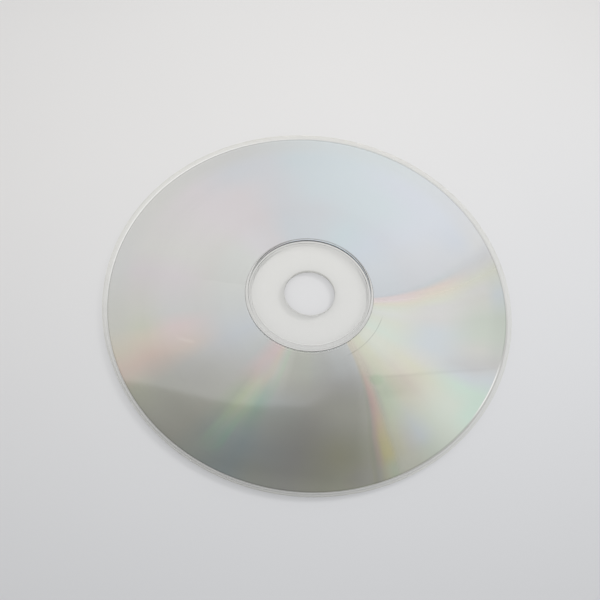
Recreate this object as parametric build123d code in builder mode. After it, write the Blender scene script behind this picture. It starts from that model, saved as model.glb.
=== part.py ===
import os

from build123d import *

# Compact disc, lying flat with its data side up, in millimetres.
# The origin is the centre of the hole on the surface that the disc lies on, and +Z is up.

# Moulded disc
disc_diameter = 120.0
hole_diameter = 15.0
disc_thickness = 1.2
hole_edge_break = 0.12
rim_data_round = 0.3
rim_label_break = 0.15

# Reflective layer on the label side, with the lacquer that seals it
layer_thickness = 0.03
layer_outer_diameter = 118.0
layer_inner_diameter = 37.4

# Stacking ring, a rounded bead that stands up from the data side
ring_inner_diameter = 35.9
ring_height = 0.45
ring_crest_width = 0.45
ring_slope_run = 0.2
ring_crest_round = 0.27

# Low ring around the clamping area of the data side
seat_inner_diameter = 32.6
seat_height = 0.12
seat_crest_width = 0.5
seat_slope_run = 0.2

# Groove that the mould's stamper holder leaves in the label side
groove_width = 0.8
groove_depth = 0.1
groove_slope_run = 0.2
groove_to_layer = 1.0

# Sizes worked out from the ones above
disc_radius = disc_diameter / 2
hole_radius = hole_diameter / 2
layer_outer_radius = layer_outer_diameter / 2
layer_inner_radius = layer_inner_diameter / 2
label_face = layer_thickness
data_face = label_face + disc_thickness
ring_inner_radius = ring_inner_diameter / 2
ring_top = data_face + ring_height
seat_inner_radius = seat_inner_diameter / 2
seat_top = data_face + seat_height
groove_inner_radius = layer_inner_radius - groove_to_layer - groove_width
groove_floor = label_face + groove_depth
same_place = 0.001


def ridge(inner_radius, foot, top, slope_run, crest_width):
    """The closed section of a ring with sloping sides, from its foot to its top."""
    crest_inner = inner_radius + slope_run
    crest_outer = crest_inner + crest_width
    Polyline(
        (inner_radius, foot),
        (crest_inner, top),
        (crest_outer, top),
        (crest_outer + slope_run, foot),
        close=True,
    )


def circle_at(part, radius, height):
    """The circular edges of a part at one radius and one height."""
    return part.edges().filter_by(GeomType.CIRCLE).filter_by(
        lambda edge: abs(edge.radius - radius) < same_place
        and abs(edge.center().Z - height) < same_place
    )


with BuildPart() as clear_disc:
    # Flat plate with the centre hole
    with BuildSketch(Plane.XY.offset(label_face)):
        Circle(disc_radius)
        Circle(hole_radius, mode=Mode.SUBTRACT)
    extrude(amount=disc_thickness)

    # Stacking ring and low ring on the data side
    with BuildSketch(Plane.XZ):
        with BuildLine():
            ridge(ring_inner_radius, data_face, ring_top, ring_slope_run, ring_crest_width)
        make_face()
        with BuildLine():
            ridge(seat_inner_radius, data_face, seat_top, seat_slope_run, seat_crest_width)
        make_face()
    revolve(axis=Axis.Z)

    # Stamper groove: the same kind of section, cut up into the label side
    groove_floor_width = groove_width - 2 * groove_slope_run
    with BuildSketch(Plane.XZ):
        with BuildLine():
            ridge(groove_inner_radius, label_face, groove_floor, groove_slope_run, groove_floor_width)
        make_face()
    revolve(axis=Axis.Z, mode=Mode.SUBTRACT)

    # The stacking ring's crest and the rim's upper edge are rounded, the other edges broken
    ring_crest_inner = ring_inner_radius + ring_slope_run
    fillet(circle_at(clear_disc, ring_crest_inner, ring_top), ring_crest_round)
    fillet(circle_at(clear_disc, ring_crest_inner + ring_crest_width, ring_top), ring_crest_round)
    fillet(circle_at(clear_disc, disc_radius, data_face), rim_data_round)
    chamfer(circle_at(clear_disc, disc_radius, label_face), rim_label_break)
    chamfer(circle_at(clear_disc, hole_radius, data_face), hole_edge_break)
    chamfer(circle_at(clear_disc, hole_radius, label_face), hole_edge_break)

with BuildPart() as reflective_layer:
    # Flat annulus under the clear disc, short of its rim and of the groove
    with BuildSketch():
        Circle(layer_outer_radius)
        Circle(layer_inner_radius, mode=Mode.SUBTRACT)
    extrude(amount=layer_thickness)

clear_disc.part.label = "clear_disc"
reflective_layer.part.label = "reflective_layer"

os.makedirs("parts", exist_ok=True)
export_step(clear_disc.part, "parts/clear_disc.step")
export_step(reflective_layer.part, "parts/reflective_layer.step")
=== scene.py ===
"""Looks of a compact disc that lies data side up on a pale table.

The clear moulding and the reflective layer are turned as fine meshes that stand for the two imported
solids. Lengths in the classes are in millimetres, as on a drawing, and go to metres in the meshes.
"""

import logging
import math
from dataclasses import dataclass
from enum import Enum

import bpy
from mathutils import Matrix, Vector


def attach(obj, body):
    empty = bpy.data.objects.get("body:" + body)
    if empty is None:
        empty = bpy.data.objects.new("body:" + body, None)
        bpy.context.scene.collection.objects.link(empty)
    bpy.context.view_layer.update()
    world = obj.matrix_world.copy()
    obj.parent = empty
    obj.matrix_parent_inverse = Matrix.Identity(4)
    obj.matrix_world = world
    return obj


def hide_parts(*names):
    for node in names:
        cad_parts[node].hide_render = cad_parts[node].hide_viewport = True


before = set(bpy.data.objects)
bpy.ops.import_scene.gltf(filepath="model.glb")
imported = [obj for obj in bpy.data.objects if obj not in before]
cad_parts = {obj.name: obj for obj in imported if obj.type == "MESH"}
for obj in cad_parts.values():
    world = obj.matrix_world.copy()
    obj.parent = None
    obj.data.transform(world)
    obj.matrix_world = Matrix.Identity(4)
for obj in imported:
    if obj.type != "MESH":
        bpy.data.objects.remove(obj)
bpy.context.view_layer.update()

MM = 0.001
FULL_TURN = 360.0
BODY = "root"
BLACK = (0.0, 0.0, 0.0)

log = logging.getLogger("compact_disc")

Colour = tuple[float, float, float]
Stop = tuple[float, Colour]


def display(red: float, green: float, blue: float) -> Colour:
    """Turns a display colour, from 0 to 255, into light levels from 0 to 1."""
    return ((red / 255) ** 2.2, (green / 255) ** 2.2, (blue / 255) ** 2.2)


def scaled(colour: Colour, level: float) -> Colour:
    """Scales a colour to a brightness.

    Args:
        colour: The colour whose hue is kept.
        level: The brightness that it gets, from 0 to 1.

    Returns:
        The scaled colour.
    """
    red, green, blue = colour
    factor = level / (0.3 * red + 0.59 * green + 0.11 * blue)
    return (red * factor, green * factor, blue * factor)


class Tint(Enum):
    """The tints of the painted rainbow light on the tracks, and of a green spot, as display colours."""

    SILVER = (208, 208, 208)
    PEARL = (209, 208, 206)
    SAND = (209, 209, 203)
    HAY = (209, 210, 198)
    STRAW = (211, 210, 192)
    AMBER = (216, 210, 170)
    PEACH = (214, 207, 194)
    ROSE = (217, 205, 198)
    CORAL = (221, 203, 194)
    PINK = (217, 204, 204)
    EMBER = (231, 200, 196)
    FLUSH = (221, 202, 202)
    BLUSH = (211, 206, 209)
    MIST = (206, 208, 213)
    SKY = (204, 208, 216)
    AQUA = (202, 210, 215)
    LAGOON = (203, 209, 212)
    MINT = (204, 211, 200)
    LIME = (204, 213, 194)
    JADE = (197, 214, 202)
    FERN = (198, 216, 192)
    TEAL = (192, 215, 208)
    LEAF = (190, 217, 201)

    def at(self, level: float) -> Colour:
        """This tint at a brightness."""
        return scaled(display(*self.value), level)


class Value:
    """A number that changes over a surface: one node socket that can be used in sums."""

    def __init__(self, nodes: "NodeBuilder", socket: bpy.types.NodeSocket) -> None:
        """Wraps a socket.

        Args:
            nodes: The builder that the socket's node belongs to.
            socket: The output socket that gives the number.
        """
        self.nodes = nodes
        self.socket = socket

    def maths(self, operation: str, *others: "Value | float") -> "Value":
        """Adds a Math node with this value first.

        Args:
            operation: The Math node's operation.
            others: The second and third operand, where the operation has them.

        Returns:
            The node's result.
        """
        return self.nodes.maths(operation, self, *others)

    def __add__(self, other: "Value | float") -> "Value":
        """This plus other."""
        return self.maths("ADD", other)

    def __radd__(self, other: float) -> "Value":
        """Other plus this."""
        return self.nodes.maths("ADD", other, self)

    def __sub__(self, other: "Value | float") -> "Value":
        """This less other."""
        return self.maths("SUBTRACT", other)

    def __rsub__(self, other: float) -> "Value":
        """Other less this."""
        return self.nodes.maths("SUBTRACT", other, self)

    def __mul__(self, other: "Value | float") -> "Value":
        """This times other."""
        return self.maths("MULTIPLY", other)

    def __rmul__(self, other: float) -> "Value":
        """Other times this."""
        return self.nodes.maths("MULTIPLY", other, self)

    def __truediv__(self, other: "Value | float") -> "Value":
        """This divided by other."""
        return self.maths("DIVIDE", other)

    def __pow__(self, power: float) -> "Value":
        """This to a power."""
        return self.maths("POWER", power)

    def absolute(self) -> "Value":
        """This without its sign."""
        return self.maths("ABSOLUTE")

    def held(self, low: float, high: float) -> "Value":
        """This, kept between two limits."""
        return self.maths("MAXIMUM", low).maths("MINIMUM", high)

    def step(self, start: float, end: float) -> "Value":
        """A smooth step from 0 at start to 1 at end, which may lie below start.

        Args:
            start: Where the step leaves 0.
            end: Where the step reaches 1.

        Returns:
            The step, from 0 to 1.
        """
        if start < end:
            return self.nodes.smooth_step(self, start, end)
        return 1.0 - self.nodes.smooth_step(self, end, start)

    def window(self, start: float, full: float, fading: float, end: float) -> "Value":
        """A smooth hump: 0 up to start, 1 from full to fading and 0 again from end."""
        return self.step(start, full) * self.step(end, fading)

    def near(self, middle: float, far: float, close: float) -> "Value":
        """1 within close of a middle, falling to 0 as far away as far."""
        return (self - middle).absolute().step(far, close)


Input = Value | bpy.types.NodeSocket | float | Colour
Setting = str | tuple[Stop, ...]


class NodeBuilder:
    """Adds nodes to one material's or world's tree."""

    def __init__(self, tree: bpy.types.NodeTree) -> None:
        """Takes over a tree and clears it.

        Args:
            tree: The node tree of a material or a world.
        """
        self.tree = tree
        tree.nodes.clear()

    def add(
        self,
        kind: str,
        settings: dict[str, Setting] | None = None,
        inputs: dict[str | int, Input] | None = None,
    ) -> bpy.types.Node:
        """Adds a node: its settings first, then its sockets.

        Args:
            kind: The node's type.
            settings: Its properties by name. A ramp's stops go under "stops".
            inputs: What each socket holds, by the socket's name or number: a Value or socket to
                link, or a plain value.

        Returns:
            The new node.
        """
        node = self.tree.nodes.new(kind)
        for name, setting in (settings or {}).items():
            if name == "stops":
                self.set_stops(node.color_ramp, setting)
            else:
                setattr(node, name, setting)
        for name, source in (inputs or {}).items():
            target = node.inputs[name]
            if isinstance(source, Value):
                self.tree.links.new(source.socket, target)
            elif isinstance(source, bpy.types.NodeSocket):
                self.tree.links.new(source, target)
            elif target.type == "RGBA" and len(source) == 3:
                target.default_value = (*source, 1.0)
            else:
                target.default_value = source
        return node

    @staticmethod
    def set_stops(ramp: bpy.types.ColorRamp, stops: tuple[Stop, ...]) -> None:
        """Gives a ramp its stops.

        Args:
            ramp: The ramp of a new node, with its two first stops.
            stops: Each stop's place from 0 to 1 and its colour, in order.
        """
        while len(ramp.elements) < len(stops):
            ramp.elements.new(1.0)
        for element, (place, colour) in zip(ramp.elements, stops):
            element.position = place
            element.color = (*colour, 1.0)

    def maths(self, operation: str, *operands: Value | float) -> Value:
        """Adds a Math node.

        Args:
            operation: The node's operation.
            operands: One to three operands, values or numbers.

        Returns:
            The node's result.
        """
        node = self.add("ShaderNodeMath", {"operation": operation}, dict(enumerate(operands)))
        return Value(self, node.outputs[0])

    def smooth_step(self, value: Value, start: float, end: float) -> Value:
        """Adds a smooth step.

        Args:
            value: What the step is read by.
            start: Where it leaves 0.
            end: Where it reaches 1, above start.

        Returns:
            The step, from 0 to 1.
        """
        limits = {"Value": value, "From Min": start, "From Max": end}
        node = self.add("ShaderNodeMapRange", {"interpolation_type": "SMOOTHSTEP"}, limits)
        return Value(self, node.outputs["Result"])

    def ramp(self, value: Value, stops: tuple[Stop, ...]) -> bpy.types.NodeSocket:
        """Adds a colour ramp that runs straight from stop to stop.

        Args:
            value: What the ramp is read by, from 0 to 1.
            stops: Each stop's place and colour, in order.

        Returns:
            The colour socket.
        """
        return self.add("ShaderNodeValToRGB", {"stops": stops}, {"Fac": value}).outputs["Color"]

    def mix(
        self,
        factor: Value | float,
        first: bpy.types.NodeSocket | Colour,
        second: bpy.types.NodeSocket | Colour,
        blend: str = "MIX",
    ) -> bpy.types.NodeSocket:
        """Adds a Mix node on two colours.

        Args:
            factor: How much of the second colour is taken.
            first: The colour that stands where the factor is 0.
            second: The colour that is blended over it.
            blend: The way of blending.

        Returns:
            The mixed colour's socket.
        """
        settings = {"data_type": "RGBA", "blend_type": blend}
        return self.add("ShaderNodeMix", settings, {0: factor, 6: first, 7: second}).outputs[2]

    def noise(self, vector: bpy.types.NodeSocket, scale: float, detail: float, roughness: float) -> Value:
        """Adds a noise texture that is read along a vector.

        Args:
            vector: The coordinates that the noise is laid out by.
            scale: How many of its waves go into one unit.
            detail: How many finer layers it has.
            roughness: How strong the finer layers are.

        Returns:
            The noise, from 0 to 1 with its mean near 0.5.
        """
        inputs = {"Vector": vector, "Scale": scale, "Detail": detail, "Roughness": roughness}
        return Value(self, self.add("ShaderNodeTexNoise", None, inputs).outputs["Fac"])

    def combine(self, x: Value | float, y: Value | float, z: Value | float) -> bpy.types.NodeSocket:
        """Puts three numbers together as a vector or a colour."""
        return self.add("ShaderNodeCombineXYZ", None, {"X": x, "Y": y, "Z": z}).outputs["Vector"]

    def grey(self, level: Value) -> bpy.types.NodeSocket:
        """A grey of this brightness."""
        return self.combine(level, level, level)

    def split(self, vector: bpy.types.NodeSocket) -> list[Value]:
        """A vector's three numbers."""
        node = self.add("ShaderNodeSeparateXYZ", None, {"Vector": vector})
        return [Value(self, socket) for socket in node.outputs]

    def place(self) -> tuple[Value, Value, Value]:
        """The point on the object, as x, y and z in millimetres."""
        x, y, z = (part / MM for part in self.split(self.add("ShaderNodeTexCoord").outputs["Object"]))
        return x, y, z

    def see_through(self, colour: Colour) -> bpy.types.NodeSocket:
        """Adds a shader that lets light straight through, in this tint."""
        return self.add("ShaderNodeBsdfTransparent", None, {"Color": colour}).outputs["BSDF"]

    def principled(self, inputs: dict[str, Input]) -> bpy.types.NodeSocket:
        """Adds a Principled shader with these sockets."""
        return self.add("ShaderNodeBsdfPrincipled", None, inputs).outputs["BSDF"]

    def mix_shaders(
        self,
        factor: Value | bpy.types.NodeSocket | float,
        first: bpy.types.NodeSocket,
        second: bpy.types.NodeSocket,
    ) -> bpy.types.NodeSocket:
        """Adds a Mix Shader.

        Args:
            factor: How much of the second shader is taken.
            first: The shader that stands where the factor is 0.
            second: The shader that stands where it is 1.

        Returns:
            The mixed shader's socket.
        """
        return self.add("ShaderNodeMixShader", None, {0: factor, 1: first, 2: second}).outputs[0]

    def surface(self, shader: bpy.types.NodeSocket) -> None:
        """Gives the material this shader."""
        self.add("ShaderNodeOutputMaterial", None, {"Surface": shader})


def new_material(name: str) -> tuple[bpy.types.Material, NodeBuilder]:
    """Makes an empty material.

    Args:
        name: The material's name.

    Returns:
        The material and the builder of its nodes.
    """
    material = bpy.data.materials.new(name)
    material.use_nodes = True
    return material, NodeBuilder(material.node_tree)


@dataclass(frozen=True)
class ClearPlastic:
    """Clear moulded polycarbonate, with lamp light let through for the shadows below it.

    Attributes:
        name: The material's name.
        light_through: How much lamp light reaches what lies below.
        soft_light_passes: Whether the same share of soft light reaches it too.
        straight: How much of what lies behind is seen without bending.
        near_light_through: The share of lamp light on the side toward the viewer, where it differs.
        tint: What the plastic does to light that goes through.
    """

    name: str
    light_through: float
    soft_light_passes: bool
    straight: float = 0.0
    near_light_through: float | None = None
    tint: Colour = (0.993, 0.991, 0.958)
    refraction: float = 1.585
    roughness: float = 0.02
    flow_depth: float = 0.012

    def colour(self, place: "TrackPlace", near_side: Value) -> bpy.types.NodeSocket:
        """The tint, with painted shade at the near side's bare margin, a little darker along the mould's
        flow.

        Args:
            place: The point's place.
            near_side: How far the point is on the side toward the viewer.

        Returns:
            The colour at the point.
        """
        nodes, radius = place.nodes, place.radius
        film_ends, margin, bare = 58.9, 59.2, 59.55
        # Painted shade: the bare margin by the rim is darker on the side toward the viewer.
        painted_margin_shade = 0.12 * near_side * radius.step(film_ends, margin)
        painted_margin_shade = painted_margin_shade + 0.22 * near_side * radius.step(margin, bare)
        flow = nodes.noise(nodes.combine(radius * 0.35, place.angle * 0.02, 0.0), 1.0, 3.0, 0.5)
        level = (1.0 - painted_margin_shade) * (1.0 - self.flow_depth * flow)
        return nodes.mix(1.0, self.tint, nodes.grey(level), "MULTIPLY")

    def material(self) -> bpy.types.Material:
        """Builds the finish.

        Returns:
            The material.
        """
        material, nodes = new_material(self.name)
        place = TrackPlace.of(nodes)
        near_side = place.near_side()
        shader = nodes.principled(
            {
                "Base Color": self.colour(place, near_side),
                "Roughness": self.roughness,
                "IOR": self.refraction,
                "Transmission Weight": 1.0,
            }
        )
        if self.straight > 0.0:
            shader = nodes.mix_shaders(self.straight, shader, nodes.see_through(self.tint))
        passing = nodes.see_through((self.light_through,) * 3)
        if self.near_light_through is not None:
            passing = nodes.mix_shaders(near_side, passing, nodes.see_through((self.near_light_through,) * 3))
        path = nodes.add("ShaderNodeLightPath").outputs
        if self.soft_light_passes:
            shader = nodes.mix_shaders(path["Is Diffuse Ray"], shader, passing)
        nodes.surface(nodes.mix_shaders(path["Is Shadow Ray"], shader, passing))
        return material


@dataclass(frozen=True)
class Lacquer:
    """The lacquered silver of the label side, which lies on the table."""

    name: str = "label_side_lacquer"
    colour: Colour = (0.70, 0.70, 0.69)
    roughness: float = 0.28
    flow_scale: float = 220.0

    def material(self) -> bpy.types.Material:
        """Builds the finish.

        Returns:
            The material.
        """
        material, nodes = new_material(self.name)
        coordinates = nodes.add("ShaderNodeTexCoord").outputs["Object"]
        flow = nodes.noise(coordinates, self.flow_scale, 3.0, 0.5)
        shader = nodes.principled(
            {
                "Base Color": self.colour,
                "Metallic": 0.85,
                "Roughness": self.roughness + 0.08 * (flow - 0.5),
                "Coat Weight": 0.5,
            }
        )
        nodes.surface(shader)
        return material


@dataclass(frozen=True)
class TrackPlace:
    """Where a point of the tracks lies, in millimetres and degrees."""

    nodes: NodeBuilder
    radius: Value
    angle: Value

    @classmethod
    def of(cls, nodes: NodeBuilder) -> "TrackPlace":
        """Works out the place from the object's own coordinates.

        Args:
            nodes: The builder of the material's nodes.

        Returns:
            The place.
        """
        x, y, _ = nodes.place()
        angle = y.maths("ARCTAN2", x) * (180.0 / math.pi)
        return cls(nodes, (x * x + y * y) ** 0.5, angle)

    def facing(self, middle: float, far: float, close: float) -> Value:
        """How near the point's side is to an angle.

        Args:
            middle: The angle that counts as 1.
            far: How many degrees away it has fallen to 0.
            close: How many degrees away it is still 1.

        Returns:
            A smooth share from 0 to 1.
        """
        away = (self.angle - middle).absolute()
        return away.maths("MINIMUM", FULL_TURN - away).step(far, close)

    def near_side(self) -> Value:
        """How far the point is on the side toward the viewer, from 0 to 1."""
        return self.facing(-102.0, 85.0, 10.0)

    def bent(self, inner_angle: float, outer_angle: float, easing: float = 0.0) -> Value:
        """The angle of a line that leans over the tracks, at this radius.

        Args:
            inner_angle: The line's angle at the first tracks.
            outer_angle: The line's angle near the rim.
            easing: How much less it leans over the outermost tracks, from 0 to 1.

        Returns:
            The line's angle at the point's own radius.
        """
        first_tracks, outer_tracks, near_rim = 22.0, 47.0, 54.0
        reach = self.radius - first_tracks
        if easing > 0.0:
            reach = reach - easing * (self.radius - outer_tracks).maths("MAXIMUM", 0.0)
        return inner_angle + (outer_angle - inner_angle) / (near_rim - first_tracks) * reach


@dataclass(frozen=True)
class TintBand:
    """Tints in order along a line, at one radius: each stop's place, tint and brightness."""

    radius: float
    stops: tuple[tuple[float, Tint, float], ...]


@dataclass(frozen=True)
class TintChart:
    """Tints that change along a line and from band to band outward over the tracks."""

    first: float
    last: float
    bands: tuple[TintBand, ...]

    def colour(self, place: TrackPlace, along: Value) -> bpy.types.NodeSocket:
        """Reads the chart.

        Args:
            place: The point's place.
            along: How far along the line the point lies, from first to last.

        Returns:
            The tint at the point.
        """
        span = self.last - self.first
        reading = (along - self.first) / span
        ramps = [
            place.nodes.ramp(
                reading,
                tuple(((at - self.first) / span, tint.at(level)) for at, tint, level in band.stops),
            )
            for band in self.bands
        ]
        colour = ramps[0]
        for inner, outer, ramp in zip(self.bands, self.bands[1:], ramps[1:]):
            colour = place.nodes.mix(place.radius.step(inner.radius, outer.radius), colour, ramp)
        return colour


# The painted glowing fan's tints, by the share of the way from its first border to its last
FAN_TINTS = TintChart(
    -0.15,
    1.15,
    (
        TintBand(
            26.0,
            (
                (-0.05, Tint.SILVER, 0.95), (-0.01, Tint.PEACH, 0.87), (0.06, Tint.PEACH, 0.838),
                (0.13, Tint.STRAW, 0.828), (0.2, Tint.STRAW, 0.78), (0.285, Tint.HAY, 0.742),
                (0.42, Tint.HAY, 0.75), (0.52, Tint.MINT, 0.749), (0.7, Tint.HAY, 0.73),
                (0.8, Tint.SAND, 0.729), (0.9, Tint.HAY, 0.757), (0.96, Tint.PEACH, 0.804),
                (1.01, Tint.PINK, 0.838), (1.06, Tint.PINK, 0.83), (1.1, Tint.MIST, 0.79),
            ),
        ),
        TintBand(
            38.0,
            (
                (-0.05, Tint.HAY, 0.95), (-0.025, Tint.SAND, 0.93), (0.0, Tint.EMBER, 0.9),
                (0.025, Tint.CORAL, 0.88), (0.055, Tint.HAY, 0.89), (0.085, Tint.LIME, 0.9),
                (0.136, Tint.LIME, 0.872), (0.197, Tint.STRAW, 0.815), (0.288, Tint.PEACH, 0.726),
                (0.4, Tint.STRAW, 0.753), (0.47, Tint.SAND, 0.747), (0.58, Tint.LAGOON, 0.717),
                (0.7, Tint.LAGOON, 0.706), (0.8, Tint.PEARL, 0.699), (0.9, Tint.PEARL, 0.739),
                (0.95, Tint.HAY, 0.793), (1.0, Tint.PEACH, 0.835), (1.05, Tint.ROSE, 0.83),
                (1.1, Tint.LAGOON, 0.793),
            ),
        ),
        TintBand(
            52.0,
            (
                (-0.05, Tint.STRAW, 0.92), (-0.03, Tint.HAY, 0.93), (-0.012, Tint.CORAL, 0.95),
                (0.01, Tint.AMBER, 0.92), (0.036, Tint.AMBER, 0.925), (0.066, Tint.STRAW, 0.9),
                (0.085, Tint.STRAW, 0.87), (0.123, Tint.SAND, 0.83), (0.175, Tint.LAGOON, 0.793),
                (0.249, Tint.MINT, 0.778), (0.371, Tint.MINT, 0.792), (0.452, Tint.JADE, 0.784),
                (0.503, Tint.LAGOON, 0.727), (0.554, Tint.SILVER, 0.665), (0.645, Tint.SAND, 0.68),
                (0.716, Tint.MINT, 0.655), (0.797, Tint.MINT, 0.623), (0.899, Tint.SAND, 0.674),
                (0.949, Tint.PEARL, 0.729), (1.0, Tint.HAY, 0.78), (1.051, Tint.SILVER, 0.786),
                (1.101, Tint.MIST, 0.797),
            ),
        ),
        TintBand(
            57.0,
            (
                (-0.05, Tint.STRAW, 0.95), (-0.02, Tint.SAND, 0.95), (0.0, Tint.STRAW, 0.92),
                (0.035, Tint.LIME, 0.9), (0.059, Tint.HAY, 0.92), (0.085, Tint.HAY, 0.865),
                (0.111, Tint.HAY, 0.822), (0.183, Tint.MINT, 0.764), (0.28, Tint.MINT, 0.77),
                (0.363, Tint.JADE, 0.779), (0.455, Tint.JADE, 0.769), (0.527, Tint.LAGOON, 0.717),
                (0.589, Tint.PEARL, 0.641), (0.712, Tint.MINT, 0.617), (0.794, Tint.MINT, 0.58),
                (0.897, Tint.LAGOON, 0.635), (1.0, Tint.HAY, 0.742), (1.051, Tint.SILVER, 0.765),
                (1.103, Tint.MIST, 0.78),
            ),
        ),
    ),
)

# The film's painted pastel rainbow light, its tints and brightness, by the angle around the disc
PASTEL_TINTS = TintChart(
    -180.0,
    180.0,
    (
        TintBand(
            26.0,
            (
                (-180.0, Tint.PEARL, 0.918), (-160.0, Tint.SILVER, 0.886), (-140.0, Tint.MIST, 0.853),
                (-125.0, Tint.SILVER, 0.866), (-95.0, Tint.PEARL, 0.88), (-85.0, Tint.SAND, 0.9),
                (-72.0, Tint.PEARL, 0.89), (-64.0, Tint.SILVER, 0.94), (-55.0, Tint.SILVER, 0.95),
                (10.0, Tint.MIST, 0.86), (30.0, Tint.MIST, 0.89), (50.0, Tint.SKY, 0.882),
                (70.0, Tint.AQUA, 0.879), (90.0, Tint.MIST, 0.862), (112.0, Tint.MIST, 0.86),
                (126.0, Tint.BLUSH, 0.885), (140.0, Tint.BLUSH, 0.93), (155.0, Tint.PEARL, 0.943),
                (180.0, Tint.PEARL, 0.918),
            ),
        ),
        TintBand(
            40.0,
            (
                (-180.0, Tint.BLUSH, 0.915), (-163.0, Tint.SILVER, 0.9), (-156.0, Tint.PINK, 0.9),
                (-146.0, Tint.ROSE, 0.88), (-139.0, Tint.PEARL, 0.86), (-120.0, Tint.SAND, 0.88),
                (-85.0, Tint.PEARL, 0.87), (-72.0, Tint.SAND, 0.965), (-60.0, Tint.SAND, 0.985),
                (12.0, Tint.MIST, 0.85), (30.0, Tint.MIST, 0.885), (42.0, Tint.SKY, 0.89),
                (60.0, Tint.AQUA, 0.876), (95.0, Tint.AQUA, 0.86), (110.0, Tint.MIST, 0.847),
                (128.0, Tint.BLUSH, 0.88), (145.0, Tint.BLUSH, 0.915), (168.0, Tint.PEARL, 0.93),
                (180.0, Tint.BLUSH, 0.915),
            ),
        ),
        TintBand(
            50.0,
            (
                (-180.0, Tint.BLUSH, 0.87), (-165.0, Tint.SAND, 0.868), (-159.0, Tint.HAY, 0.848),
                (-155.0, Tint.PEACH, 0.872), (-148.0, Tint.CORAL, 0.864), (-144.0, Tint.ROSE, 0.862),
                (-138.0, Tint.SAND, 0.855), (-120.0, Tint.SAND, 0.88), (-100.0, Tint.LAGOON, 0.86),
                (-88.0, Tint.SILVER, 0.85), (-75.0, Tint.STRAW, 0.93), (-66.0, Tint.HAY, 0.98),
                (16.0, Tint.SILVER, 0.87), (30.0, Tint.SKY, 0.868), (42.0, Tint.SKY, 0.892),
                (60.0, Tint.SKY, 0.871), (80.0, Tint.AQUA, 0.863), (102.0, Tint.AQUA, 0.85),
                (112.0, Tint.MIST, 0.847), (126.0, Tint.MIST, 0.852), (142.0, Tint.BLUSH, 0.884),
                (170.0, Tint.PEARL, 0.898), (180.0, Tint.BLUSH, 0.87),
            ),
        ),
        TintBand(
            57.0,
            (
                (-180.0, Tint.SILVER, 0.865), (-160.0, Tint.SAND, 0.832), (-152.0, Tint.PEACH, 0.873),
                (-146.0, Tint.CORAL, 0.9), (-140.0, Tint.HAY, 0.945), (-130.0, Tint.SAND, 0.967),
                (-116.0, Tint.SAND, 0.975), (-106.0, Tint.LAGOON, 0.88), (-99.0, Tint.SAND, 0.91),
                (-90.0, Tint.PEARL, 0.875), (-80.0, Tint.HAY, 0.905), (-70.0, Tint.HAY, 1.06),
                (12.0, Tint.LAGOON, 0.81), (22.0, Tint.SILVER, 0.89), (40.0, Tint.MIST, 0.87),
                (70.0, Tint.LAGOON, 0.855), (90.0, Tint.LAGOON, 0.865), (120.0, Tint.SILVER, 0.825),
                (155.0, Tint.PEARL, 0.865), (180.0, Tint.SILVER, 0.865),
            ),
        ),
    ),
)

# The painted rainbow streak's tints, by half-widths from its middle line
STREAK_TINTS = TintChart(
    -2.0,
    3.0,
    (
        TintBand(
            26.0,
            (
                (-1.2, Tint.SILVER, 1.0), (-0.5, Tint.PINK, 1.04), (0.0, Tint.FLUSH, 1.09),
                (0.35, Tint.ROSE, 1.11), (0.69, Tint.SAND, 1.1), (0.95, Tint.MINT, 1.07),
                (1.2, Tint.SAND, 1.04), (1.6, Tint.SAND, 0.97), (3.0, Tint.SILVER, 0.97),
            ),
        ),
        TintBand(
            38.0,
            (
                (-1.0, Tint.SILVER, 1.0), (-0.45, Tint.MINT, 0.97), (-0.15, Tint.LIME, 1.07),
                (0.05, Tint.FERN, 1.17), (0.35, Tint.JADE, 1.04), (0.6, Tint.TEAL, 0.96),
                (1.15, Tint.LAGOON, 1.0), (3.0, Tint.SILVER, 1.0),
            ),
        ),
        TintBand(
            50.0,
            (
                (-1.0, Tint.SILVER, 1.0), (-0.45, Tint.LAGOON, 0.98), (-0.02, Tint.LEAF, 1.18),
                (0.2, Tint.TEAL, 1.06), (0.38, Tint.AQUA, 1.01), (0.8, Tint.AQUA, 0.98),
                (1.3, Tint.SILVER, 1.02), (3.0, Tint.SILVER, 1.0),
            ),
        ),
        TintBand(
            57.0,
            (
                (-1.0, Tint.SILVER, 1.0), (-0.25, Tint.LAGOON, 1.0), (0.3, Tint.LAGOON, 0.98),
                (3.0, Tint.SILVER, 1.0),
            ),
        ),
    ),
)


@dataclass(frozen=True)
class RainbowStreak:
    """A painted streak of rainbow light, narrow, that runs outward over the tracks."""

    inner_angle: float
    outer_angle: float
    half_width: float
    chart: TintChart

    def over(self, place: TrackPlace, colour: bpy.types.NodeSocket) -> bpy.types.NodeSocket:
        """Lays the streak over a colour.

        Args:
            place: The point's place.
            colour: The colour below.

        Returns:
            The colour with the streak on it.
        """
        across = (place.angle - place.bent(self.inner_angle, self.outer_angle)) / self.half_width
        return place.nodes.mix(1.0, colour, self.chart.colour(place, across), "MULTIPLY")


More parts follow.
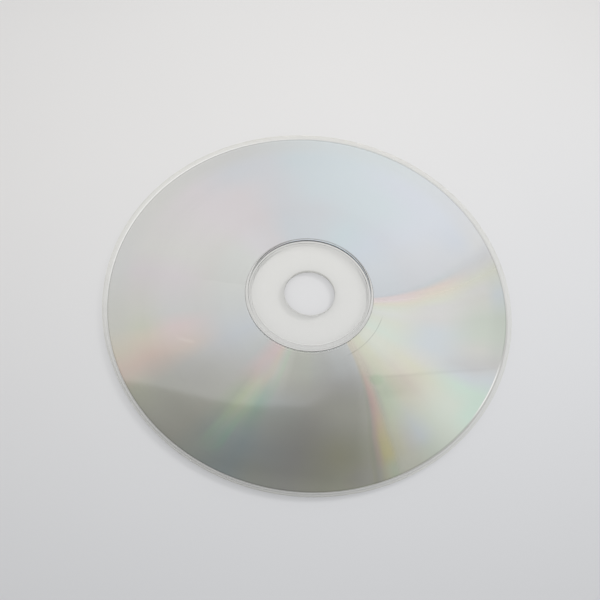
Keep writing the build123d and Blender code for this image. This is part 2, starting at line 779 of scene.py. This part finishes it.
@dataclass(frozen=True)
class PaintedGlowFan:
    """A painted glow, the bright fan of light that the tracks throw toward the viewer at the lower right.

    Attributes:
        start: The angle of its first border at the first tracks and near the rim.
        end: The same for its last border.
        start_easing: How much less the first border leans over the outermost tracks.
        strength: How much of the film's mirror the brightest glow takes away.
        rises: Each rise of the glow: how much it adds, where it starts and where it ends.
        fade: Where the glow is gone and where it starts to go, near the last border.
        chart: The tints through the fan.
    """

    start: tuple[float, float] = (-49.7, -64.1)
    end: tuple[float, float] = (1.5, 15.5)
    start_easing: float = 0.5
    strength: float = 0.85
    rises: tuple[tuple[float, float, float], ...] = (
        (0.06, -0.12, -0.03),
        (0.22, -0.035, 0.03),
        (0.1, 0.03, 0.1),
        (0.62, 0.03, 0.36),
    )
    fade: tuple[float, float] = (1.12, 0.8)
    chart: TintChart = FAN_TINTS

    def across(self, place: TrackPlace) -> Value:
        """How far through the fan a point lies, from 0 at its first border to 1 at its last."""
        start, end = place.bent(*self.start, easing=self.start_easing), place.bent(*self.end)
        return (place.angle - start) / (end - start)

    def glow(self, place: TrackPlace) -> Value:
        """How much the fan's painted glow outshines the mirror.

        Args:
            place: The point's place.

        Returns:
            The glow, from 0 to 1.
        """
        across = self.across(place)
        first, *others = (share * across.step(start, end) for share, start, end in self.rises)
        return sum(others, first) * across.step(*self.fade)

    def over(self, place: TrackPlace, colour: bpy.types.NodeSocket) -> bpy.types.NodeSocket:
        """Lays the fan over a colour.

        Args:
            place: The point's place.
            colour: The colour below.

        Returns:
            The colour with the fan on it.
        """
        across = self.across(place)
        inside = across.window(-0.05, -0.03, 1.06, 1.15)
        # Painted light: the fan's glowing tints go over the film's colour.
        return place.nodes.mix(inside, colour, self.chart.colour(place, across))


@dataclass(frozen=True)
class PaintedReflectionsAndMarks:
    """A painted reflection line across the fan with painted shade beside it, a green spot and a light scuff.

    Attributes:
        line_slope: How much the line climbs in each millimetre to the right.
        line_drop: How far below the disc's centre the line passes.
        line_depth: How much the painted reflection line darkens the film.
        below_depth: How much painted shade darkens the film just below the line's start.
        beyond_depth: How much painted shade darkens it above the line toward the rim.
        scuff_lift: How much the scuff lightens the film.
        spot: The green spot's middle, and its half-width and half-height.
        spot_share: How much of the film's own colour the spot covers.
    """

    line_slope: float = 0.21
    line_drop: float = 28.2
    line_depth: float = 0.05
    below_depth: float = 0.09
    beyond_depth: float = 0.04
    scuff_lift: float = 0.05
    spot: tuple[float, float, float, float] = (21.6, -24.6, 2.4, 1.9)
    spot_share: float = 0.6

    def depth(self, nodes: NodeBuilder) -> Value:
        """How much the painted reflection line and shade darken the film, less the scuff's lift.

        Args:
            nodes: The builder of the film's nodes.

        Returns:
            The depth, below 0 where the film is made lighter.
        """
        x, y, _ = nodes.place()
        above = y - self.line_slope * x + self.line_drop
        # Painted reflection: a dark line across the fan, with painted shade below its start and beyond it
        # toward the rim.
        line = above.absolute().step(0.8, 0.1) * x.window(14.0, 22.0, 50.0, 58.0)
        below = above.window(-8.0, -4.5, -0.4, 0.4) * x.window(20.0, 25.0, 28.0, 37.0)
        beyond = above.window(-0.2, 0.4, 2.0, 6.0) * x.step(34.0, 44.0)
        scuff = (y + 0.12 * x).near(-24.2, 0.9, 0.1) * x.near(-33.0, 3.5, 1.0)
        darker = self.line_depth * line + self.below_depth * below + self.beyond_depth * beyond
        return darker - self.scuff_lift * scuff

    def spotted(self, nodes: NodeBuilder, colour: bpy.types.NodeSocket) -> bpy.types.NodeSocket:
        """Lays the green spot over a colour.

        Args:
            nodes: The builder of the film's nodes.
            colour: The colour below.

        Returns:
            The colour with the spot on it.
        """
        x, y, _ = nodes.place()
        middle_x, middle_y, half_width, half_height = self.spot
        away = ((x - middle_x) / half_width) ** 2.0 + ((y - middle_y) / half_height) ** 2.0
        return nodes.mix(self.spot_share * away.step(1.2, 0.1), colour, Tint.FERN.at(0.74))


@dataclass(frozen=True)
class FilmEdges:
    """How the silver ends: dull at the hub, pale at the rim with painted light and shade, a painted glint.

    Attributes:
        inner: The radius where the silver starts.
        outer: The radius where it ends.
        near_side_gain: How much further out it ends on the side toward the viewer.
        hub_colour: The colour of the margin at the hub.
        thin: How far inside the outer edge the silver starts to thin, and where it is thinnest.
        pale: The brightness of the margin at the rim.
        far_side_lift: How much painted light brightens that margin on the far side.
        near_side_dip: How much painted shade darkens it on the side toward the viewer.
        right_side_dip: How much painted shade darkens it on the right.
        glint_radius: The radius of the painted glint.
        glint_colour: The colour of the painted glint.
    """

    inner: float = 18.93
    outer: float = 58.55
    near_side_gain: float = 0.3
    hub_colour: Colour = (0.16, 0.16, 0.155)
    thin: tuple[float, float] = (0.34, 0.2)
    pale: float = 0.67
    far_side_lift: float = 0.24
    near_side_dip: float = 0.3
    right_side_dip: float = 0.12
    glint_radius: float = 58.42
    glint_colour: Colour = (0.94, 0.94, 0.94)

    def over(
        self, place: TrackPlace, colour: bpy.types.NodeSocket
    ) -> tuple[bpy.types.NodeSocket, Value, Value]:
        """Lays the edges over the film's colour.

        Args:
            place: The point's place.
            colour: The colour of the film.

        Returns:
            The colour with the edges on it, how much of a margin the point is, and how much of a
            mirror the silver still is there.
        """
        nodes, radius = place.nodes, place.radius
        near_side, far_side = place.near_side(), place.facing(150.0, 75.0, 10.0)
        right_side = place.facing(-28.0, 40.0, 15.0)
        reach = radius - self.near_side_gain * near_side
        hub_margin = radius.step(self.inner + 0.03, self.inner - 0.03)
        rim_margin = reach.step(self.outer - 0.02, self.outer + 0.04)
        thin_film = reach.step(*(self.outer - width for width in self.thin))
        # Painted highlight: a glint line along the rim on the right.
        glint = place.facing(-24.0, 14.0, 3.0) * radius.near(self.glint_radius, 0.24, 0.1)
        # Painted light and shade on the pale rim margin: lighter on the far side, darker toward the viewer
        # and on the right.
        sides = self.far_side_lift * far_side - self.near_side_dip * near_side
        pale = self.pale + sides - self.right_side_dip * right_side
        colour = nodes.mix(0.2 * thin_film, colour, BLACK)
        colour = nodes.mix(hub_margin, colour, self.hub_colour)
        colour = nodes.mix(rim_margin, colour, nodes.combine(pale, pale, 0.99 * pale))
        mirror = (1.0 - hub_margin) * (1.0 - rim_margin) * (1.0 - glint)
        return nodes.mix(glint, colour, self.glint_colour), hub_margin + rim_margin, mirror


@dataclass(frozen=True)
class SilverFilm:
    """The mirror film under the tracks, with the faint rainbow light of the tracks painted into its colour.

    Attributes:
        first_track: The radius of the line where the tracks start.
        track_grain: How much brighter and darker the film is from track to track.
        start_line_depth: How dark that line is where it is seen.
        hub_shade_depth: How much painted shade darkens the film beside the hub, toward the viewer.
        edge_roughness: How much rougher the margins are than the film.
    """

    name: str = "silver_film"
    roughness: float = 0.035
    edge_roughness: float = 0.3
    first_track: float = 22.4
    track_grain: float = 0.03
    start_line_depth: float = 0.28
    hub_shade_depth: float = 0.08
    edges: FilmEdges = FilmEdges()
    reflections_and_marks: PaintedReflectionsAndMarks = PaintedReflectionsAndMarks()
    fan: PaintedGlowFan = PaintedGlowFan()
    pastels: TintChart = PASTEL_TINTS
    streak: RainbowStreak = RainbowStreak(-110.0, -113.0, 10.0, STREAK_TINTS)

    def shade(self, place: TrackPlace, tracks: Value) -> Value:
        """How bright the film is apart from its tints, with its painted shade and painted reflection line.

        Args:
            place: The point's place.
            tracks: The fine unevenness of the tracks, from 0 to 1.

        Returns:
            The brightness, near 1.
        """
        radius, angle = place.radius, place.angle
        start_line = radius.near(self.first_track, 0.14, 0.05) * angle.near(-33.0, 24.0, 16.0)
        # Painted shade: darker reflections beside the hub, toward the viewer.
        hub_shade = radius.step(28.0, 21.0) * angle.near(-82.0, 48.0, 20.0)
        grain = 1.0 + self.track_grain * (tracks - 0.5)
        shade = grain - self.start_line_depth * start_line - self.hub_shade_depth * hub_shade
        return shade - self.reflections_and_marks.depth(place.nodes)

    def tracks_colour(self, place: TrackPlace, tracks: Value) -> bpy.types.NodeSocket:
        """The colour of the film with its painted rainbow light, painted shade, painted reflection line, spot
        and scuff.

        Args:
            place: The point's place.
            tracks: The fine unevenness of the tracks, from 0 to 1.

        Returns:
            The colour at the point.
        """
        nodes = place.nodes
        colour = self.pastels.colour(place, place.angle)
        colour = self.streak.over(place, colour)
        colour = self.fan.over(place, colour)
        shade = self.shade(place, tracks)
        near_hub = place.radius.step(32.0, 24.0)
        green, blue = shade * (1.005 + 0.025 * near_hub), shade * (1.035 + 0.03 * near_hub)
        colour = nodes.mix(1.0, colour, nodes.combine(shade, green, blue), "MULTIPLY")
        return self.reflections_and_marks.spotted(nodes, colour)

    def material(self) -> bpy.types.Material:
        """Builds the finish.

        Returns:
            The material.
        """
        material, nodes = new_material(self.name)
        place = TrackPlace.of(nodes)
        tracks = nodes.noise(nodes.combine(place.radius * 1.7, place.angle * 0.004, 0.0), 1.0, 4.0, 0.7)
        colour, margins, mirror = self.edges.over(place, self.tracks_colour(place, tracks))
        shader = nodes.principled(
            {
                "Base Color": colour,
                "Metallic": (1.0 - self.fan.strength * self.fan.glow(place)) * mirror,
                "Roughness": self.roughness + 0.012 * (tracks - 0.5) + self.edge_roughness * margins,
            }
        )
        nodes.surface(shader)
        return material


@dataclass(frozen=True)
class TablePaper:
    """The pale matt surface that the disc lies on, with painted shade: a little darker and cooler toward the
    viewer.

    Attributes:
        level: Its brightness around the disc.
        cool_tint: Its painted shade tint toward the viewer.
        warm_tint: Its painted light tint on the far side.
        grain_depth: How much it varies with its fine grain.
        cloud_depth: How much it varies in wide clouds.
        grid: The length in which its painted falloff in brightness is measured.
    """

    name: str = "table_surface"
    level: float = 0.77
    roughness: float = 0.9
    cool_tint: Colour = (0.985, 0.995, 1.02)
    warm_tint: Colour = (1.008, 0.998, 0.992)
    grain_depth: float = 0.014
    cloud_depth: float = 0.02
    grid: float = 100.0

    def material(self) -> bpy.types.Material:
        """Builds the finish.

        Returns:
            The material.
        """
        material, nodes = new_material(self.name)
        x, y, _ = nodes.place()
        across, away = (x / self.grid).held(-1.5, 1.5), (y / self.grid).held(-1.4, 1.7)
        # Painted light falloff: brighter on the far side, darker toward the viewer and the sides.
        painted_falloff = 1.0 - 0.017 * across + 0.1 * away - 0.083 * away * away - 0.05 * across * across
        grain = nodes.noise(nodes.combine(x, y, 0.0), 1.6, 5.0, 0.6)
        cloud = nodes.noise(nodes.combine(x, y, 0.0), 0.02, 2.0, 0.5)
        mottle = 1.0 + self.grain_depth * (grain - 0.5) + self.cloud_depth * (cloud - 0.5)
        level = self.level * painted_falloff * mottle
        # Painted tint of the light: cooler toward the viewer, warmer on the far side.
        warmth = (away - 0.6 * across).step(-0.9, 1.1)
        tint = nodes.mix(warmth, self.cool_tint, self.warm_tint)
        colour = nodes.mix(1.0, tint, nodes.grey(level), "MULTIPLY")
        bump = nodes.add("ShaderNodeBump", None, {"Strength": 0.08, "Distance": 0.05 * MM, "Height": grain})
        shader = nodes.principled(
            {
                "Base Color": colour,
                "Roughness": self.roughness,
                "Specular IOR Level": 0.1,
                "Normal": bump.outputs["Normal"],
            }
        )
        nodes.surface(shader)
        return material


class Run(Enum):
    """What a strip of a turned mesh is, by how steep it stands or by the edge that it belongs to."""

    FLAT = 0
    SLOPE = 1
    WALL = 2
    RIM = 3
    BORE = 4

    @classmethod
    def of(cls, normal: Vector) -> "Run":
        """Tells how steep a strip stands.

        Args:
            normal: The strip's normal.

        Returns:
            Flat, slope or wall.
        """
        rise, flat_rise, slope_rise = abs(normal.z), 0.985, 0.45
        if rise > flat_rise:
            return cls.FLAT
        return cls.SLOPE if rise > slope_rise else cls.WALL


@dataclass(frozen=True)
class Corner:
    """A corner of a section, with the radius that it is rounded to."""

    radius: float
    height: float
    rounding: float = 0.0


@dataclass(frozen=True)
class Lathe:
    """Turns a closed section around the upright axis."""

    segments: int = 480
    facet_angle: float = 15.0
    crease_angle: float = 35.0
    support: float = 0.03

    def rounded(self, corners: list[Corner]) -> list[Vector]:
        """Works out a section's points.

        Args:
            corners: The section's corners in order.

        Returns:
            Points as (radius, height), with the corners rounded and a support point beside each
            end of a straight run, so that flat faces keep their own normals.
        """
        points: list[Vector] = []
        count = len(corners)
        for index, corner in enumerate(corners):
            here = Vector((corner.radius, corner.height))
            before = corners[index - 1]
            after = corners[(index + 1) % count]
            arrive = (here - Vector((before.radius, before.height))).normalized()
            leave = (Vector((after.radius, after.height)) - here).normalized()
            points.extend(self.arc(here, arrive, leave, corner.rounding))
        return self.supported(points)

    def arc(self, here: Vector, arrive: Vector, leave: Vector, rounding: float) -> list[Vector]:
        """Rounds one corner.

        Args:
            here: The sharp corner.
            arrive: The direction of the run that ends in it.
            leave: The direction of the run that starts from it.
            rounding: The arc's radius, or 0 for a sharp corner.

        Returns:
            The corner's points in order.
        """
        turn = arrive.angle_signed(leave)
        if rounding <= 0.0 or abs(turn) < math.radians(1.0):
            return [here]
        reach = rounding * math.tan(abs(turn) / 2)
        side = Vector((-arrive.y, arrive.x)) * (-1.0 if turn > 0 else 1.0)
        start = here - arrive * reach
        centre = start + side * rounding
        steps = max(2, round(math.degrees(abs(turn)) / self.facet_angle))
        arm = start - centre
        return [centre + Matrix.Rotation(-turn * step / steps, 2) @ arm for step in range(steps + 1)]

    def supported(self, points: list[Vector]) -> list[Vector]:
        """Adds a point beside each end of every long straight run.

        Args:
            points: The section's points in order.

        Returns:
            The points with the new ones among them.
        """
        result: list[Vector] = []
        for index, point in enumerate(points):
            following = points[(index + 1) % len(points)]
            run = following - point
            result.append(point)
            if run.length > 4 * self.support:
                near = run.normalized() * self.support
                result.extend((point + near, following - near))
        return result

    def turn(
        self, name: str, corners: list[Corner], materials: dict[Run, bpy.types.Material]
    ) -> bpy.types.Object:
        """Turns a section into a mesh object.

        Args:
            name: The object's name.
            corners: The section's corners in order.
            materials: The finish of each kind of strip.

        Returns:
            The object, in the scene.
        """
        section = self.rounded(corners)
        rings = len(section)
        vertices = []
        for segment in range(self.segments):
            angle = 2 * math.pi * segment / self.segments
            across, along = math.cos(angle) * MM, math.sin(angle) * MM
            vertices.extend((p.x * across, p.x * along, p.y * MM) for p in section)
        faces = []
        for segment in range(self.segments):
            this, following = segment * rings, (segment + 1) % self.segments * rings
            for ring in range(rings):
                above = (ring + 1) % rings
                faces.append((this + ring, following + ring, following + above, this + above))
        mesh = bpy.data.meshes.new(name)
        mesh.from_pydata(vertices, [], faces)
        for run in Run:
            mesh.materials.append(materials[run])
        mesh.update()
        for polygon in mesh.polygons:
            polygon.use_smooth = True
            polygon.material_index = Run.of(polygon.normal).value
        mesh.set_sharp_from_angle(angle=math.radians(self.crease_angle))
        piece = bpy.data.objects.new(name, mesh)
        bpy.context.scene.collection.objects.link(piece)
        return piece


@dataclass(frozen=True)
class ReflectiveLayer:
    """The silver film and its lacquer, one thin ring whose top lies just inside the clear plastic."""

    inner_radius: float = 18.7
    outer_radius: float = 59.0
    thickness: float = 0.035

    def section(self) -> list[Corner]:
        """The section's corners, sharp, around its four sides."""
        return [
            Corner(self.inner_radius, 0.0),
            Corner(self.outer_radius, 0.0),
            Corner(self.outer_radius, self.thickness),
            Corner(self.inner_radius, self.thickness),
        ]

    def build(self, lathe: Lathe) -> bpy.types.Object:
        """Makes the piece and dresses it.

        Args:
            lathe: What turns the section.

        Returns:
            The piece.
        """
        lacquer = Lacquer().material()
        piece = lathe.turn(
            "silver_ring",
            self.section(),
            {**dict.fromkeys(Run, lacquer), Run.FLAT: SilverFilm().material()},
        )
        for polygon in piece.data.polygons:
            if polygon.normal.z < 0:
                polygon.material_index = Run.WALL.value
        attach(piece, BODY)
        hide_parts("reflective_layer")
        return piece


@dataclass(frozen=True)
class Ring:
    """A raised ring on the data side, in section."""

    inner: float
    slope: float
    crest: float
    height: float
    crest_round: float
    foot_round: float

    def corners(self, base: float) -> list[Corner]:
        """The ring's corners from its outer foot to its inner foot.

        Args:
            base: The height of the face that it stands on.

        Returns:
            The four corners.
        """
        crest_inner = self.inner + self.slope
        crest_outer = crest_inner + self.crest
        return [
            Corner(crest_outer + self.slope, base, self.foot_round),
            Corner(crest_outer, base + self.height, self.crest_round),
            Corner(crest_inner, base + self.height, self.crest_round),
            Corner(self.inner, base, self.foot_round),
        ]


@dataclass(frozen=True)
class Groove:
    """A groove in the label side, in section."""

    inner: float = 16.9
    width: float = 0.8
    depth: float = 0.1
    slope: float = 0.2
    rounding: float = 0.1

    def corners(self, base: float) -> list[Corner]:
        """The groove's corners from its inner edge to its outer edge.

        Args:
            base: The height of the face that it is cut into.

        Returns:
            The four corners.
        """
        outer = self.inner + self.width
        return [
            Corner(self.inner, base, self.rounding),
            Corner(self.inner + self.slope, base + self.depth, self.rounding),
            Corner(outer - self.slope, base + self.depth, self.rounding),
            Corner(outer, base, self.rounding),
        ]


@dataclass(frozen=True)
class ClearDisc:
    """The clear moulding: plate, centre hole, two raised rings and stamper groove."""

    hole_radius: float = 7.5
    outer_radius: float = 60.0
    label_face: float = 0.03
    data_face: float = 1.23
    hole_break: float = 0.12
    rim_data_round: float = 0.3
    rim_label_break: float = 0.15
    edge_strip: float = 1.0
    seat: Ring = Ring(16.3, 0.2, 0.5, 0.12, 0.4, 0.4)
    bead: Ring = Ring(17.95, 0.2, 0.45, 0.45, 0.27, 0.4)
    groove: Groove = Groove()

    def section(self) -> list[Corner]:
        """The section's corners, outward along the label side and back along the data side."""
        return [
            Corner(self.hole_radius, self.label_face, self.hole_break),
            *self.groove.corners(self.label_face),
            Corner(self.outer_radius, self.label_face, self.rim_label_break),
            Corner(self.outer_radius, self.data_face, self.rim_data_round),
            *self.bead.corners(self.data_face),
            *self.seat.corners(self.data_face),
            Corner(self.hole_radius, self.data_face, self.hole_break),
        ]

    def build(self, lathe: Lathe) -> bpy.types.Object:
        """Makes the piece and dresses it.

        Args:
            lathe: What turns the section.

        Returns:
            The piece.
        """
        piece = lathe.turn(
            "clear_moulding",
            self.section(),
            {
                Run.FLAT: ClearPlastic("clear_face", 1.0, True).material(),
                Run.SLOPE: ClearPlastic("clear_slope", 0.72, True).material(),
                Run.WALL: ClearPlastic("clear_wall", 0.3, False).material(),
                Run.RIM: ClearPlastic("clear_rim", 0.92, True, 0.85, 0.5).material(),
                Run.BORE: ClearPlastic("clear_bore", 0.58, True, 0.7).material(),
            },
        )
        for polygon in piece.data.polygons:
            reach = polygon.center.xy.length / MM
            if polygon.material_index == Run.FLAT.value:
                continue
            if reach > self.outer_radius - self.edge_strip:
                polygon.material_index = Run.RIM.value
            elif reach < self.hole_radius + self.edge_strip:
                polygon.material_index = Run.BORE.value
        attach(piece, BODY)
        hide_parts("clear_disc")
        return piece


@dataclass(frozen=True)
class Viewpoint:
    """The camera, at the photograph's angle."""

    distance: float = 225.1
    elevation: float = 60.9
    roll: float = 7.52
    aim: tuple[float, float] = (-2.55, -2.27)
    lens: float = 45.88
    sensor: float = 36.0
    nearest: float = 10.0

    def build(self) -> bpy.types.Object:
        """Makes the camera and hands the scene to it.

        Returns:
            The camera.
        """
        rise, roll = math.radians(self.elevation), math.radians(self.roll)
        look = Vector((0.0, math.cos(rise), -math.sin(rise)))
        right = Vector((1.0, 0.0, 0.0))
        up = right.cross(look)
        across = right * math.cos(roll) + up * math.sin(roll)
        upward = up * math.cos(roll) - right * math.sin(roll)
        turn = Matrix((across, upward, -look)).transposed().to_4x4()
        spot = (Vector((*self.aim, 0.0)) - look * self.distance) * MM
        data = bpy.data.cameras.new("viewpoint")
        data.lens, data.sensor_width = self.lens, self.sensor
        data.clip_start = self.nearest * MM
        camera = bpy.data.objects.new("viewpoint", data)
        camera.matrix_world = Matrix.Translation(spot) @ turn
        bpy.context.scene.collection.objects.link(camera)
        bpy.context.scene.camera = camera
        return camera


@dataclass(frozen=True)
class Dome:
    """The pale room around the disc, with a graded ceiling that the film mirrors.

    Places on the ceiling are measured across and away from the disc, in ceiling heights.

    Attributes:
        walls: The brightness around the ceiling.
        lean: How much the bright part's grades lean toward the right.
        bright: The bright part's grades: the place of each and its brightness.
        dark: The same for the dark part, which is nearer to the viewer.
        edge: How far away the dark part ends.
    """

    walls: float = 0.76
    lean: float = 0.26
    bright: tuple[tuple[float, float], ...] = (
        (0.412, 0.46),
        (0.443, 0.50),
        (0.473, 0.56),
        (0.504, 0.625),
        (0.524, 0.655),
        (0.565, 0.668),
        (0.667, 0.71),
        (0.79, 0.745),
    )
    dark: tuple[tuple[float, float], ...] = (
        (0.278, 0.235),
        (0.294, 0.215),
        (0.324, 0.25),
        (0.355, 0.31),
        (0.388, 0.375),
    )
    edge: float = 0.3915

    @staticmethod
    def graded(
        place: Value, start: float, span: float, grades: tuple[tuple[float, float], ...], blue: float
    ) -> bpy.types.NodeSocket:
        """Reads grades of grey.

        Args:
            place: The point's place along the grades.
            start: Where the reading starts.
            span: How far it goes.
            grades: The place of each grade and its brightness.
            blue: How much blue the grey keeps.

        Returns:
            The colour at the point.
        """
        stops = tuple(((at - start) / span, (level, level, blue * level)) for at, level in grades)
        return place.nodes.ramp((place - start) / span, stops)

    def dark_part(self, across: Value, away: Value) -> Value:
        """Where the ceiling is dark, behind an edge that wavers and softens to the right.

        Args:
            across: How far to the right the point lies.
            away: How far from the viewer it lies.

        Returns:
            1 in the dark part, 0 in the bright one.
        """
        dip = 0.011 * across.step(-0.21, -0.07) - 0.0085 * across.step(-0.06, 0.03)
        edge = self.edge - dip + 0.032 * across.step(0.02, 0.085) + 0.045 * across.step(0.08, 0.24)
        softness = 0.002 + 0.026 * across.step(0.02, 0.075)
        return ((away - edge) / softness).step(1.0, -1.0)

    @staticmethod
    def lift(across: Value, away: Value) -> Value:
        """How much lighter the ceiling is to the right, apart from a dim patch and a smudge.

        Args:
            across: How far to the right the point lies.
            away: How far from the viewer it lies.

        Returns:
            The lift, near 1.
        """
        reach = across - 0.8 * (away - 0.37).maths("MAXIMUM", 0.0)
        patch = reach.step(-0.08, 0.045) * away.window(0.27, 0.36, 0.42, 0.5)
        smudge = across.near(-0.15, 0.08, 0.02) * away.near(0.42, 0.04, 0.01)
        return (0.95 + 0.16 * across.step(-0.2, 0.2)) * (1.0 - 0.26 * patch) * (1.0 - 0.07 * smudge)

    def build(self) -> bpy.types.World:
        """Makes the room and hands it to the scene.

        Returns:
            The world.
        """
        world = bpy.data.worlds.new("dome")
        world.use_nodes = True
        bpy.context.scene.world = world
        nodes = NodeBuilder(world.node_tree)
        x, y, z = nodes.split(nodes.add("ShaderNodeTexCoord").outputs["Generated"])
        height = z.maths("MAXIMUM", 0.05)
        across, away = x / height, y / height
        bright = self.graded(away - self.lean * across, 0.4, 0.4, self.bright, 0.99)
        dark = self.graded(away, 0.25, 0.16, self.dark, 0.95)
        room = nodes.mix(self.dark_part(across, away), bright, dark)
        ceiling = nodes.mix(1.0, room, nodes.grey(self.lift(across, away)), "MULTIPLY")
        overhead = z.step(0.3, 0.5) * away.step(0.1, 0.22) * across.absolute().step(0.8, 0.45)
        colour = nodes.mix(overhead, (self.walls,) * 3, ceiling)
        background = nodes.add("ShaderNodeBackground", None, {"Color": colour, "Strength": 1.0})
        nodes.add("ShaderNodeOutputWorld", None, {"Surface": background.outputs[0]})
        return world


@dataclass(frozen=True)
class Studio:
    """Pale table and one soft lamp from the upper right."""

    table_size: float = 9000.0
    lamp_power: float = 5.3
    lamp_distance: float = 1100.0
    lamp_size: float = 320.0
    lamp_azimuth: float = 45.0
    lamp_elevation: float = 32.0

    def build_table(self) -> bpy.types.Object:
        """Makes the table top.

        Returns:
            The table, which is no part of the object.
        """
        half = self.table_size / 2 * MM
        corners = [(-half, -half, 0.0), (half, -half, 0.0), (half, half, 0.0), (-half, half, 0.0)]
        mesh = bpy.data.meshes.new("table")
        mesh.from_pydata(corners, [], [(0, 1, 2, 3)])
        mesh.materials.append(TablePaper().material())
        table = bpy.data.objects.new("table", mesh)
        bpy.context.scene.collection.objects.link(table)
        return table

    def build_lamp(self) -> bpy.types.Object:
        """Makes the soft lamp.

        Returns:
            The lamp.
        """
        turn, rise = math.radians(self.lamp_azimuth), math.radians(self.lamp_elevation)
        toward = Vector((math.cos(turn) * math.cos(rise), math.sin(turn) * math.cos(rise), math.sin(rise)))
        data = bpy.data.lights.new("softbox", "AREA")
        data.shape = "DISK"
        data.size = self.lamp_size * MM
        data.energy = self.lamp_power
        lamp = bpy.data.objects.new("softbox", data)
        lamp.visible_glossy = lamp.visible_transmission = False
        lamp.location = toward * self.lamp_distance * MM
        lamp.rotation_euler = toward.to_track_quat("Z", "Y").to_euler()
        bpy.context.scene.collection.objects.link(lamp)
        return lamp


def main() -> None:
    """Builds the studio and the disc, and reports each piece."""
    logging.basicConfig(level=logging.INFO, format="%(message)s")
    bpy.context.scene.view_settings.view_transform = "Standard"
    Viewpoint().build()
    studio = Studio()
    studio.build_table()
    studio.build_lamp()
    Dome().build()
    lathe = Lathe()
    for part in (ReflectiveLayer(), ClearDisc()):
        piece = part.build(lathe)
        log.info("%s: %d faces", piece.name, len(piece.data.polygons))


if __name__ == "__main__":
    main()
